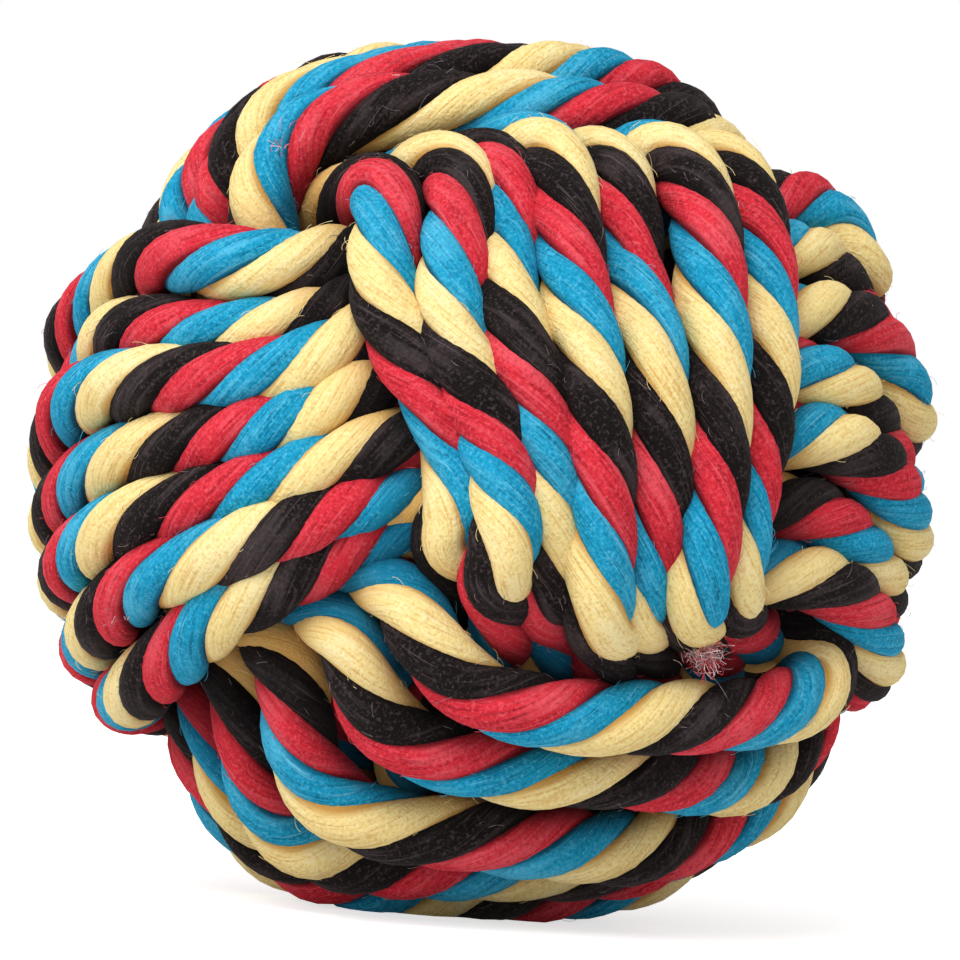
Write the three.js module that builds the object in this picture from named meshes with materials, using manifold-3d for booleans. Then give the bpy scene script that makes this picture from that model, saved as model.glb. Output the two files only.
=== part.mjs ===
// Rope ball dog toy: one rope knotted as three windings of seven turns round a wound core.
// Millimetres, +Z up. The origin is on the surface that the ball rests on, under the knot's middle.
import * as THREE from "three";
import { mergeVertices } from "three/addons/utils/BufferGeometryUtils.js";
import Module from "manifold-3d";

const wasm = await Module();
wasm.setup();

// Driving sizes. The ball's size follows from the rope and its turns, as in a real knot.
const ROPE_DIAMETER = 7.7;
const RUN_GAP = 0.9;
const SEAT_GAP = 0.3;
const CUT_OVERRUN = 3;

// Counts.
const TURNS = 7;
const STEPS_PER_TURN = 24;
const ROPE_SIDES = 6;
const CHECKS_PER_STEP = 4;
const CORE_RINGS = 14;
const CORE_SIDES = 24;

// The tube is thinner than the rope, because soft rope is pressed together and tubes keep a gap.
const TUBE_SHARE = 0.805;
const tubeHeight = ROPE_DIAMETER * TUBE_SHARE;
// It is squeezed a little further between its neighbours.
const SQUEEZE_SHARE = 0.952;
const tubeWidth = tubeHeight * SQUEEZE_SHARE;
// The distance between neighbouring turns, which every radius of the knot follows.
const runPitch = tubeWidth + RUN_GAP;

// A middle loop's radius over the pitch: its mean, then its even waves round the loop.
// A loop is wide where it lies on top and narrow where it passes under its neighbour.
const MIDDLE_LOOP_SHARES = [5.926, 1.211, -0.358, -0.041];
// What the outermost loops of a winding lose of each of these.
const EDGE_LOSS_SHARES = [0.798, -0.274, 0.201, -0.012];
// How far a middle loop rises again under its neighbour, and how short that rise is.
const UNDER_RISE_SHARE = 0.8;
const UNDER_RISE_POWER = 6;
// How far the turns close up at the corners, and how they differ between wide and narrow sides.
const CORNER_PINCH_SHARE = 0.069;
const SIDE_PINCH_SHARE = -0.007;
// The share of a turn in which the rope steps over to its next turn, hidden under its neighbour.
const STEP_OVER_SHARE = 0.2;
// The depth of the resting flat over the rope's diameter.
const FLAT_DEPTH_SHARE = 0.1;

// How the knot lies on the floor, in degrees about X, then Y, then Z. The camera looks along +Y.
const X_LEAN_DEGREES = 71;
const Y_LEAN_DEGREES = 17;
const Z_LEAN_DEGREES = -80;

const COTTON = { roughness: 0.95, metalness: 0 };

// Each winding lies on top at both ends of its wide axis and passes under at its narrow axis.
const WINDINGS = [
  { name: "first_winding", wide: "x", narrow: "y", across: "z", color: 0xc8323c },
  { name: "second_winding", wide: "y", narrow: "z", across: "x", color: 0x1e9cc8 },
  { name: "third_winding", wide: "z", narrow: "x", across: "y", color: 0xe8cf7e },
];

// A sum of even waves round a loop.
function evenWaves(shares, angle) {
  return shares.reduce((sum, share, wave) => sum + share * Math.cos(2 * wave * angle), 0);
}

// How many turns a point lies from the winding's middle loop, at a count of turns from its start.
function loopsFromMiddle(turn) {
  const nearest = Math.round(turn);
  const reach = STEP_OVER_SHARE / 2;
  return nearest - (TURNS + 1) / 2 + THREE.MathUtils.smoothstep(turn - nearest, -reach, reach);
}

// The rope's middle at a count of turns from a winding's start, which is on the narrow side.
function ropeMiddle(winding, turn) {
  const angle = Math.PI / 2 + turn * 2 * Math.PI;
  const loops = loopsFromMiddle(turn);
  const edge = (loops / ((TURNS - 1) / 2)) ** 2;
  const waves = evenWaves(MIDDLE_LOOP_SHARES, angle) - edge * evenWaves(EDGE_LOSS_SHARES, angle);
  const rise = UNDER_RISE_SHARE * (1 - edge) * Math.abs(Math.sin(angle)) ** UNDER_RISE_POWER;
  const radius = runPitch * (waves + rise);
  const corner = (CORNER_PINCH_SHARE * (1 - Math.cos(4 * angle))) / 2;
  const pinch = 1 - corner + SIDE_PINCH_SHARE * Math.cos(2 * angle);
  const point = new THREE.Vector3();
  point[winding.wide] = radius * Math.cos(angle);
  point[winding.narrow] = radius * Math.sin(angle);
  point[winding.across] = runPitch * loops * pinch;
  return point;
}

// The middles of the rope's cross-sections along a winding.
function ropeRoute(winding) {
  const count = TURNS * STEPS_PER_TURN;
  return Array.from({ length: count + 1 }, (_, i) => ropeMiddle(winding, i / STEPS_PER_TURN));
}

// A closed tube with six sides along a route: squeezed across, full height away from the ball.
function ropeTube(route) {
  const positions = [];
  const faces = [];
  const radius = tubeHeight / 2;
  const squeeze = SQUEEZE_SHARE / Math.cos(Math.PI / ROPE_SIDES);
  route.forEach((middle, i) => {
    const before = route[Math.max(i - 1, 0)];
    const after = route[Math.min(i + 1, route.length - 1)];
    const along = after.clone().sub(before).normalize();
    const outward = middle.clone().addScaledVector(along, -middle.dot(along)).normalize();
    const across = along.clone().cross(outward);
    for (let side = 0; side < ROPE_SIDES; side += 1) {
      const turn = (side * 2 * Math.PI) / ROPE_SIDES;
      const corner = middle.clone();
      corner.addScaledVector(outward, radius * Math.cos(turn));
      corner.addScaledVector(across, radius * squeeze * Math.sin(turn));
      positions.push(corner.x, corner.y, corner.z);
    }
  });
  for (let i = 0; i + 1 < route.length; i += 1) {
    for (let side = 0; side < ROPE_SIDES; side += 1) {
      const next = (side + 1) % ROPE_SIDES;
      const a = i * ROPE_SIDES + side;
      const b = i * ROPE_SIDES + next;
      const c = a + ROPE_SIDES;
      const d = b + ROPE_SIDES;
      faces.push(a, b, c, b, d, c);
    }
  }
  const last = (route.length - 1) * ROPE_SIDES;
  for (let side = 1; side + 1 < ROPE_SIDES; side += 1) {
    faces.push(0, side + 1, side);
    faces.push(last, last + side, last + side + 1);
  }
  const tube = new THREE.BufferGeometry();
  tube.setAttribute("position", new THREE.Float32BufferAttribute(positions, 3));
  tube.setIndex(faces);
  return tube;
}

// The least distance between two turns of a route, less the tube's width between them.
function leastGap(route) {
  const points = [];
  for (let i = 0; i + 1 < route.length; i += 1) {
    for (let part = 0; part < CHECKS_PER_STEP; part += 1) {
      points.push(route[i].clone().lerp(route[i + 1], part / CHECKS_PER_STEP));
    }
  }
  const halfTurn = (STEPS_PER_TURN * CHECKS_PER_STEP) / 2;
  let least = Infinity;
  for (let i = 0; i < points.length; i += 1) {
    for (let j = i + halfTurn; j < points.length; j += 1) {
      least = Math.min(least, points[i].distanceTo(points[j]));
    }
  }
  return least - tubeWidth;
}

// A closed geometry as a solid that can be cut.
function solidOf(geometry) {
  const bare = geometry.clone();
  bare.deleteAttribute("normal");
  bare.deleteAttribute("uv");
  const merged = mergeVertices(bare);
  return new wasm.Manifold(
    new wasm.Mesh({
      numProp: 3,
      vertProperties: merged.attributes.position.array,
      triVerts: new Uint32Array(merged.index.array),
    }),
  );
}

// A cut solid as a geometry again.
function geometryOf(solid) {
  const mesh = solid.getMesh();
  const geometry = new THREE.BufferGeometry();
  geometry.setAttribute("position", new THREE.Float32BufferAttribute(mesh.vertProperties, 3));
  geometry.setIndex(new THREE.Uint32BufferAttribute(mesh.triVerts, 1));
  geometry.computeVertexNormals();
  return geometry;
}

// The core, a ball that fills the hollow inside the innermost runs.
function coreBall(radius) {
  const profile = [];
  for (let ring = 0; ring <= CORE_RINGS; ring += 1) {
    const angle = (ring * Math.PI) / CORE_RINGS - Math.PI / 2;
    const onAxis = ring === 0 || ring === CORE_RINGS;
    profile.push(new THREE.Vector2(onAxis ? 0 : radius * Math.cos(angle), radius * Math.sin(angle)));
  }
  return new THREE.LatheGeometry(profile, CORE_SIDES).rotateX(Math.PI / 2);
}

// Lay the three tubes out, turned as the knot lies on the floor.
const leans = [X_LEAN_DEGREES, Y_LEAN_DEGREES, Z_LEAN_DEGREES].map(THREE.MathUtils.degToRad);
const lean = new THREE.Matrix4().makeRotationFromEuler(new THREE.Euler(...leans, "XYZ"));
const routes = WINDINGS.map(ropeRoute);
const tubes = routes.map((route) => ropeTube(route).applyMatrix4(lean));
const reach = new THREE.Box3();
tubes.forEach((tube) => reach.union(new THREE.Box3().setFromBufferAttribute(tube.attributes.position)));

// The ball stands on a flat cut into its lowest runs.
const floorHeight = reach.min.z + ROPE_DIAMETER * FLAT_DEPTH_SHARE;
const size = reach.getSize(new THREE.Vector3());
const below = new THREE.BoxGeometry(size.x + CUT_OVERRUN, size.y + CUT_OVERRUN, CUT_OVERRUN);
below.translate(0, 0, floorHeight - CUT_OVERRUN / 2);
const cutter = solidOf(below);

const ball = new THREE.Group();
ball.position.z = -floorHeight;
WINDINGS.forEach((winding, i) => {
  const geometry = geometryOf(solidOf(tubes[i]).subtract(cutter));
  const material = new THREE.MeshStandardMaterial({ color: winding.color, ...COTTON });
  const mesh = new THREE.Mesh(geometry, material);
  mesh.name = winding.name;
  ball.add(mesh);
  console.log(`${winding.name}: least gap between its turns ${leastGap(routes[i]).toFixed(2)} mm`);
});

const innermost = Math.min(...routes.flat().map((middle) => middle.length()));
const coreMaterial = new THREE.MeshStandardMaterial({ color: 0xd8cdb4, ...COTTON });
const core = new THREE.Mesh(coreBall(innermost - tubeHeight / 2 - SEAT_GAP), coreMaterial);
core.name = "core_ball";
ball.add(core);

const toy = new THREE.Group();
toy.add(ball);

export default toy;
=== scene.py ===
"""The looks of a rope ball dog toy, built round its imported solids.

One laid cotton rope with a red, a blue, a yellow and a black strand is knotted as three windings
that lie square to each other round a wound core. The solids hold the windings as plain tubes. Here
each winding is laid from its four strands, with the fibres that stand off soft cotton.
"""

import logging
import math
from dataclasses import dataclass, field
from enum import Enum, IntEnum

import bmesh
import bpy
import numpy as np
from mathutils import Euler, Matrix, Vector


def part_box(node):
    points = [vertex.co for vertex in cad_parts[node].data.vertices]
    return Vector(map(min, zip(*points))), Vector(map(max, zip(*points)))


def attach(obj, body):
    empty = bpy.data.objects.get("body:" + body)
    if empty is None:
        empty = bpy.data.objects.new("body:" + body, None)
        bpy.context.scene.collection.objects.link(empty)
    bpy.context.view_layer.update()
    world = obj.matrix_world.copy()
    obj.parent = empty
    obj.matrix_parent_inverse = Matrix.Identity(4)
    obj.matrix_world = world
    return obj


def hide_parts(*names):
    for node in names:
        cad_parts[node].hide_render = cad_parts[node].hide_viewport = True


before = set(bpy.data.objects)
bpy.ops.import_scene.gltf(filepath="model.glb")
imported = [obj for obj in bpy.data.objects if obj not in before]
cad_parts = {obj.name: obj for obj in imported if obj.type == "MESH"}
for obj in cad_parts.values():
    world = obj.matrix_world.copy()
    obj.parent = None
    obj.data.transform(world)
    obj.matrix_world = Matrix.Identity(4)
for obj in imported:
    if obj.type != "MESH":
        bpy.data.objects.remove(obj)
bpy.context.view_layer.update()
LOG = logging.getLogger("rope_ball")

BODY = "root"
MM_PER_METRE = 1000

# The map along and round a strand, and the distance in metres that its width stands for.
YARN_MAP = "yarn"
STRAND_ROUND = 0.0125


class SeedShift(IntEnum):
    """What is added to a winding's seed for each thing that is left to chance on it."""

    SIDE = 1
    RISE = 2
    LAY = 5
    STRAND_HEIGHT = 500
    FUZZ = 900


class Strand(Enum):
    """The rope's strands, in the order in which they follow each other along the rope."""

    RED = 0
    BLUE = 1
    YELLOW = 2
    BLACK = 3


@dataclass(frozen=True)
class Winding:
    """One set of seven turns: its CAD node and the knot axes that it follows.

    It lies on top at both ends of its wide axis and passes under at its narrow axis.

    Args:
        node: The CAD node.
        wide: The axis that it is wide along.
        narrow: The axis that it is narrow along.
        across: The axis that its turns lie beside each other along.
        seed: Picks its unevenness.
        heading: Which way the strands follow each other along it, 1 or -1.
    """

    node: str
    wide: int
    narrow: int
    across: int
    seed: int
    heading: int


# The rope runs through the second winding the other way, so its strands follow in turned order.
WINDINGS = (
    Winding("first_winding", 0, 1, 2, 11, 1),
    Winding("second_winding", 1, 2, 0, 23, -1),
    Winding("third_winding", 2, 0, 1, 37, 1),
)

# Where the hands that tied the knot left the rope on the side that faces the camera: at a count of
# turns, how far it lies beside and above the ball's middle on the ball's outer side, and how proud
# it is of its even height, in millimetres.
HAND_PULLS = {
    "first_winding": (
        (3.67, -16.9, -40.0, -0.2), (3.75, 8.2, -42.9, -1), (3.83, 29.1, -34.8, 0),
        (4.6, -21.4, -21.4, 0), (4.63, -18.9, -27.9, 0), (4.67, -12.7, -33.7, 0.4),
        (4.71, -1.6, -37.3, 0.6), (4.75, 11.2, -38.4, 0.7), (4.83, 32.4, -31.7, 0.4),
        (5.17, 17.7, 41.4, 0.4), (5.25, -3.2, 42.7, 0.8), (5.33, -23.1, 36.5, 0.5),
        (5.6, -16.0, -15.1, 0), (5.63, -13.3, -21.2, 0), (5.67, -6.7, -27.0, -0.8),
        (5.71, 3.2, -30.4, -1.2), (5.75, 14.0, -31.3, -1.4), (5.83, 36.3, -26.1, -0.8),
        (6.17, 17.3, 38.4, -0.2), (6.25, -2.9, 39.1, -0.8), (6.33, -19.4, 35.0, -0.2),
        (6.6, -10.5, -9.2, 0), (6.63, -7.0, -14.4, 0), (6.67, -0.1, -19.7, 0.5),
        (6.71, 7.8, -22.5, 0.8), (6.75, 16.3, -23.2, 0.9), (6.83, 33.5, -18.8, 0.6),
    ),
    "second_winding": (
        (0.12, -19.9, 21.9, 0.4), (0.17, -31.8, 20.5, 0.8), (0.79, 38.0, 24.8, 0.8),
        (0.83, 33.9, 30.1, 0.9), (0.87, 29.1, 34.0, 0.3), (1.12, -18.9, 16.9, -1.2),
        (1.17, -31.6, 14.1, -1.6), (1.79, 41.5, 18.4, -0.6), (1.83, 38.2, 24.5, -1),
        (1.87, 31.7, 27.2, 0), (2.12, -18.0, 12.2, 0.6), (2.17, -31.0, 8.0, 0.9),
        (2.79, 43.5, 11.6, 0.6), (2.83, 40.1, 17.5, 0.7), (2.87, 33.6, 21.1, 0.3),
        (3.12, -16.8, 6.3, -0.6), (3.17, -30.0, 2.1, -0.9), (3.79, 44.6, 4.4, -1),
        (3.83, 41.7, 10.3, -1.4), (3.87, 35.9, 14.4, -0.3), (4.12, -15.1, 1.2, 0.3),
        (4.17, -29.0, -4.1, 0.6), (4.79, 45.3, -2.9, 0.6), (4.83, 42.6, 2.8, 0.7),
        (4.87, 37.4, 7.1, 0.3), (5.08, -3.9, -0.1, -0.4), (5.12, -14.7, -4.3, 0.9),
        (5.17, -27.7, -10.5, 1), (5.79, 44.2, -10.2, -0.8), (5.83, 42.5, -4.8, -1.2),
        (5.87, 37.4, -0.4, -0.3), (6.08, -4.7, -3.6, -1.4), (6.12, -13.0, -8.4, -1),
        (6.17, -26.1, -16.5, -1.2), (6.79, 42.0, -17.1, 0.7), (6.83, 41.7, -12.8, 0.9),
        (6.87, 37.4, -8.0, 0.3),
    ),
    "third_winding": (
        (0.67, -11.2, 28.0, 0.3), (0.75, -7.6, 12.9, 0.4), (0.77, -5.1, 7.7, -0.4),
        (0.79, -1.2, 2.5, -2.2), (0.83, 0.8, -5.6, -3), (1.67, -4.7, 30.1, 0),
        (1.75, -3.0, 13.2, 0.6), (1.79, 1.5, 2.0, 1.3), (1.83, 3.9, -8.6, 0.9),
        (2.67, 1.2, 31.6, -2), (2.7, 1.5, 26.0, -3), (2.75, 2.9, 13.6, 0.2), (2.79, 6.9, 1.7, -0.3),
        (2.83, 8.2, -9.5, -1.8), (3.67, 6.4, 32.2, 0.8), (3.75, 9.4, 13.9, 0.8),
        (3.79, 12.2, 1.9, 0.5), (3.83, 13.1, -9.6, 0.2), (4.67, 12.5, 32.6, -0.4),
        (4.71, 14.2, 23.1, -3), (4.75, 16.2, 14.4, -0.4), (4.79, 17.2, 2.2, -0.2),
        (4.83, 17.7, -9.3, -1.8), (5.67, 18.4, 32.6, 0.4), (5.75, 23.2, 14.8, 1),
        (5.79, 22.9, 2.6, 0.8), (5.83, 22.4, -8.6, 0.8), (6.67, 25.9, 32.2, -0.1),
        (6.75, 30.4, 15.0, -0.3), (6.79, 29.5, 3.3, -1.2), (6.83, 27.2, -7.1, -0.8),
    ),
}

# How many degrees the first winding's other turns on top were rolled toward the camera with them.
TOP_ROLLS = ((0.25, 8.6), (1.25, 9.9), (2.25, 11.9), (3.25, 14.3), (4.25, 16.6))

# How far the strands are turned on at counts of turns, in shares of a lay, as they lie in the hand.
LAY_NUDGES = {
    "first_winding": (
        (3.75, -0.07), (3.79, -0.09), (4.22, 0.01), (4.31, -0.07), (4.66, 0.35), (4.78, 0.24),
        (5.25, 0.45), (5.28, 0.45), (5.67, 0.70), (5.71, 0.67), (6.2, 0.45), (6.23, 0.47),
        (6.67, 0.00), (6.69, 0.02),
    ),
    "second_winding": (
        (0.14, 0.47), (0.2, 0.42), (0.82, 0.48), (0.85, 0.48), (1.15, 0.54), (1.21, 0.48),
        (1.82, 0.96), (1.86, 0.93), (2.14, 0.67), (2.18, 0.63), (2.8, 0.16), (2.82, 0.18),
        (3.17, 0.01), (3.24, -0.06), (3.83, -0.10), (3.85, -0.12), (4.12, -0.42), (4.16, -0.46),
        (4.8, -0.69), (4.84, -0.72), (5.14, -0.49), (5.23, -0.58), (5.85, -0.21), (6.17, -0.43),
        (6.25, -0.50), (6.83, -0.60),
    ),
    "third_winding": (
        (0.66, -0.38), (0.8, -0.51), (1.69, -0.25), (1.8, -0.15), (2.73, -0.19), (2.8, -0.13),
        (3.69, 0.01), (3.79, 0.11), (4.67, -0.26), (4.81, -0.38), (5.67, -0.39), (5.78, -0.49),
        (6.69, -0.09), (6.8, 0.01),
    ),
}


@dataclass(frozen=True)
class Unevenness:
    """A smooth wander along a rope, made of sine waves of several lengths.

    Args:
        seed: Picks the waves.
        shortest: The shortest wave's length in metres.
        longest: The longest wave's length in metres.
        waves: How many waves are added up.
        weakest: The weakest wave's share of the strongest.
    """

    seed: int
    shortest: float = 0.012
    longest: float = 0.090
    waves: int = 7
    weakest: float = 0.5

    def along(self, distance: np.ndarray) -> np.ndarray:
        """The wander at distances along the rope.

        Args:
            distance: Distances in metres.

        Returns:
            Values that are mostly between -1 and 1.
        """
        chance = np.random.default_rng(self.seed)
        ends = (math.log(self.shortest), math.log(self.longest))
        lengths = np.exp(chance.uniform(*ends, self.waves))
        starts = chance.uniform(0, 2 * math.pi, self.waves)
        shares = chance.uniform(self.weakest, 1, self.waves)
        swing = np.sin(2 * math.pi * distance[:, None] / lengths + starts) * shares
        return swing.sum(axis=1) / np.sqrt((shares**2).sum())


def core_middle() -> Vector:
    """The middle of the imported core, round which the knot is tied."""
    low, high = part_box("core_ball")
    return (Vector(low) + Vector(high)) / 2


def linked(name: str, data: bpy.types.ID) -> bpy.types.Object:
    """A new object in the scene.

    Args:
        name: The object's name.
        data: The mesh, lamp, camera or curve that it holds.

    Returns:
        The object, at its origin.
    """
    made = bpy.data.objects.new(name, data)
    bpy.context.scene.collection.objects.link(made)
    return made


def tube_mesh(curve: bpy.types.Curve) -> bpy.types.Mesh:
    """A curve's tubes as a mesh.

    Args:
        curve: The curve, with its thickness set.

    Returns:
        The mesh, which has the curve's name.
    """
    tubes = linked("tubes", curve)
    made = tubes.evaluated_get(bpy.context.evaluated_depsgraph_get())
    mesh = bpy.data.meshes.new_from_object(made)
    bpy.data.objects.remove(tubes)
    mesh.name = curve.name
    return mesh


def new_material(name: str) -> tuple[bpy.types.Material, bpy.types.NodeTree, bpy.types.Node]:
    """A new material.

    Args:
        name: The material's name.

    Returns:
        The material, its node tree and its shader.
    """
    made = bpy.data.materials.new(name)
    made.use_nodes = True
    return made, made.node_tree, made.node_tree.nodes["Principled BSDF"]


def add_node(
    tree: bpy.types.NodeTree, kind: str, given: dict[str | int, object], operation: str = ""
) -> bpy.types.Node:
    """Adds a shader node to a tree.

    Args:
        tree: The tree that it goes in.
        kind: The kind of node.
        given: What its inputs get, each a socket to follow or a fixed value.
        operation: The sum that it makes, where it makes one.

    Returns:
        The node.
    """
    node = tree.nodes.new(f"ShaderNode{kind}")
    if operation:
        node.operation = operation
    for name, value in given.items():
        if isinstance(value, bpy.types.NodeSocket):
            tree.links.new(value, node.inputs[name])
        else:
            node.inputs[name].default_value = value
    return node


def add_relief(
    shader: bpy.types.Node, height: bpy.types.NodeSocket, share: float, depth: float
) -> None:
    """Gives a shader relief.

    Args:
        shader: The shader that gets it.
        height: The relief's height, from 0 to 1.
        share: How strongly the relief shows.
        depth: How deep it is, in metres.
    """
    tree = shader.id_data
    given = {"Strength": share, "Distance": depth, "Height": height}
    tree.links.new(add_node(tree, "Bump", given).outputs["Normal"], shader.inputs["Normal"])


@dataclass(frozen=True)
class BallKnot:
    """The knot's shape: where the rope's middle runs in each winding.

    The radii are shares of the distance between neighbouring turns.

    Args:
        pitch: The distance between neighbouring turns in metres.
        turns: How many turns each winding has.
        step_over_share: The share of a turn in which the rope steps over to its next turn.
        middle_loop: A middle loop's radius: its mean, then its even waves round the loop.
        edge_loss: What the outermost loops lose of each of these.
        under_rise: How far a middle loop rises again where it passes under its neighbour.
        under_rise_power: How short that rise is.
        corner_pinch: How far the turns close up at the corners.
        side_pinch: How the pinch differs between the wide and the narrow sides.
        lean_degrees: How the knot lies on the floor, about X, then Y, then Z.
        centre: The ball's middle.
    """

    pitch: float = 0.0068
    turns: int = 7
    step_over_share: float = 0.2
    middle_loop: tuple[float, ...] = (5.926, 1.211, -0.358, -0.041)
    edge_loss: tuple[float, ...] = (0.798, -0.274, 0.201, -0.012)
    under_rise: float = 0.8
    under_rise_power: int = 6
    corner_pinch: float = 0.069
    side_pinch: float = -0.007
    lean_degrees: tuple[float, float, float] = (71.0, 17.0, -80.0)
    centre: Vector = field(default_factory=core_middle)

    def lean(self) -> Matrix:
        """How the knot lies on the floor, as the part's source turns it."""
        leans = zip(self.lean_degrees, "XYZ")
        x, y, z = (Matrix.Rotation(math.radians(angle), 3, axis) for angle, axis in leans)
        return x @ y @ z

    def loops_from_middle(self, turn: np.ndarray) -> np.ndarray:
        """How many turns a point lies from its winding's middle loop.

        Args:
            turn: Counts of turns from the winding's start.

        Returns:
            Counts of loops, from minus three to three where the rope shows.
        """
        nearest = np.floor(turn + 0.5)
        step = np.clip((turn - nearest) / self.step_over_share + 0.5, 0, 1)
        return nearest - (self.turns + 1) / 2 + step * step * (3 - 2 * step)

    def middle(self, winding: Winding, turn: np.ndarray) -> np.ndarray:
        """The rope's middle where it is tied evenly, measured from the ball's middle.

        Args:
            winding: The winding whose rope is meant.
            turn: Counts of turns from the winding's start.

        Returns:
            One point in metres for each count.
        """
        angle = math.pi / 2 + turn * 2 * math.pi
        loops = self.loops_from_middle(turn)
        edge = (loops / ((self.turns - 1) / 2)) ** 2
        radius = self.under_rise * (1 - edge) * np.abs(np.sin(angle)) ** self.under_rise_power
        for wave, (share, loss) in enumerate(zip(self.middle_loop, self.edge_loss)):
            radius = radius + (share - edge * loss) * np.cos(2 * wave * angle)
        pinch = 1 - self.corner_pinch * (1 - np.cos(4 * angle)) / 2
        pinch = pinch + self.side_pinch * np.cos(2 * angle)
        points = np.zeros((len(turn), 3))
        points[:, winding.wide] = radius * np.cos(angle)
        points[:, winding.narrow] = radius * np.sin(angle)
        points[:, winding.across] = loops * pinch
        return points * self.pitch @ np.array(self.lean()).T

    def stand(self, points: np.ndarray) -> np.ndarray:
        """Points measured from the ball's middle, lifted as the knot stands on the floor."""
        return points + np.array(self.centre)


@dataclass
class HandTying:
    """The uneven pull of the hands that tied the knot, as a smooth shift over the ball.

    Args:
        knot: The even knot.
        radius: The radius in metres at which the pulls are measured.
        reach: How far a pull carries over the ball, in metres.
        ease: How much neighbouring pulls give way to each other.
        drawn_in: The share of its even height that the soft rope keeps.
        roll_spread: How far to each side of a rolled turn's top its roll is held, in turns.
    """

    knot: BallKnot
    radius: float = 0.0455
    reach: float = 0.013
    ease: float = 0.08
    drawn_in: float = 0.991
    roll_spread: float = 0.05
    anchors: np.ndarray = field(init=False)
    shifts: np.ndarray = field(init=False)

    def __post_init__(self) -> None:
        """Works out the shifts that together bring the rope to where it was left."""
        anchors, targets = [], []
        for winding in WINDINGS:
            for turn, x, z, _ in HAND_PULLS[winding.node]:
                anchors.append(self.knot.middle(winding, np.array([turn]))[0])
                x, z = x / MM_PER_METRE, z / MM_PER_METRE
                targets.append((x, -math.sqrt(max(self.radius**2 - x**2 - z**2, 0)), z))
        for turn, degrees in TOP_ROLLS:
            for beside in (-self.roll_spread, self.roll_spread):
                anchors.append(self.knot.middle(WINDINGS[0], np.array([turn + beside]))[0])
                targets.append(Matrix.Rotation(math.radians(degrees), 3, "X") @ Vector(anchors[-1]))
        self.anchors = self._on_ball(np.array(anchors))
        steady = self._carry(self.anchors) + self.ease * np.eye(len(anchors))
        self.shifts = np.linalg.solve(steady, self._on_ball(np.array(targets)) - self.anchors)

    def _on_ball(self, points: np.ndarray) -> np.ndarray:
        """Points brought to the radius at which the pulls are measured."""
        return points / np.linalg.norm(points, axis=1)[:, None] * self.radius

    def _carry(self, points: np.ndarray) -> np.ndarray:
        """How strongly each pull is felt at each point."""
        apart = points[:, None] - self.anchors[None]
        return np.exp(-(apart**2).sum(axis=2) / (2 * self.reach**2))

    def pulled(self, winding: Winding, turn: np.ndarray) -> np.ndarray:
        """The rope's middle as it was tied by hand.

        Args:
            winding: The winding whose rope is meant.
            turn: Counts of turns from the winding's start.

        Returns:
            One point for each count, measured from the ball's middle.
        """
        points = self.knot.middle(winding, turn)
        height = np.linalg.norm(points, axis=1)[:, None]
        place = self._on_ball(points)
        place = place + self._carry(place) @ self.shifts
        # The rope keeps its even height where it is hidden, which is every half turn.
        level = [(half / 2, 0.0) for half in range(2 * self.knot.turns + 1)]
        pulls = HAND_PULLS[winding.node]
        rises = sorted(level + [(middle, rise / MM_PER_METRE) for middle, _, _, rise in pulls])
        height = height * self.drawn_in + np.interp(turn, *zip(*rises))[:, None]
        return place / np.linalg.norm(place, axis=1)[:, None] * height


@dataclass
class RopeRun:
    """The rope's middle along one winding, with its frame at each step.

    Args:
        tying: How the knot was tied.
        winding: The winding that is followed.
        steps: How many steps the run has.
        wander: How far the rope wanders from its place, in metres.
        wander_waves: The wander's shortest and longest waves in metres.
    """

    tying: HandTying
    winding: Winding
    steps: int
    wander: float = 0.0006
    wander_waves: tuple[float, float] = (0.03, 0.16)
    turn: np.ndarray = field(init=False)
    points: np.ndarray = field(init=False)
    outward: np.ndarray = field(init=False)
    across: np.ndarray = field(init=False)
    distance: np.ndarray = field(init=False)

    def __post_init__(self) -> None:
        """Works out the run's points, frames and distances."""
        self.turn = np.linspace(0, self.tying.knot.turns, self.steps + 1)
        points = self.tying.pulled(self.winding, self.turn)
        _, outward, across = self._frames(points)
        self.distance = self._distances(points)
        side, rise = (
            Unevenness(self.winding.seed + shift, *self.wander_waves).along(self.distance)
            * self.wander
            for shift in (SeedShift.SIDE, SeedShift.RISE)
        )
        self.points = points + outward * rise[:, None] + across * side[:, None]
        _, self.outward, self.across = self._frames(self.points)

    @staticmethod
    def _distances(points: np.ndarray) -> np.ndarray:
        """The distance along the run at each of its points."""
        lengths = np.linalg.norm(np.diff(points, axis=0), axis=1)
        return np.concatenate(([0.0], np.cumsum(lengths)))

    @staticmethod
    def _frames(points: np.ndarray) -> tuple[np.ndarray, np.ndarray, np.ndarray]:
        """Unit vectors along the rope, away from the ball and across the rope.

        Args:
            points: The run's points, measured from the ball's middle.

        Returns:
            The three vectors at each point.
        """
        along = np.gradient(points, axis=0)
        along /= np.linalg.norm(along, axis=1)[:, None]
        outward = points - (points * along).sum(axis=1)[:, None] * along
        outward /= np.linalg.norm(outward, axis=1)[:, None]
        return along, outward, np.cross(along, outward)


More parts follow.
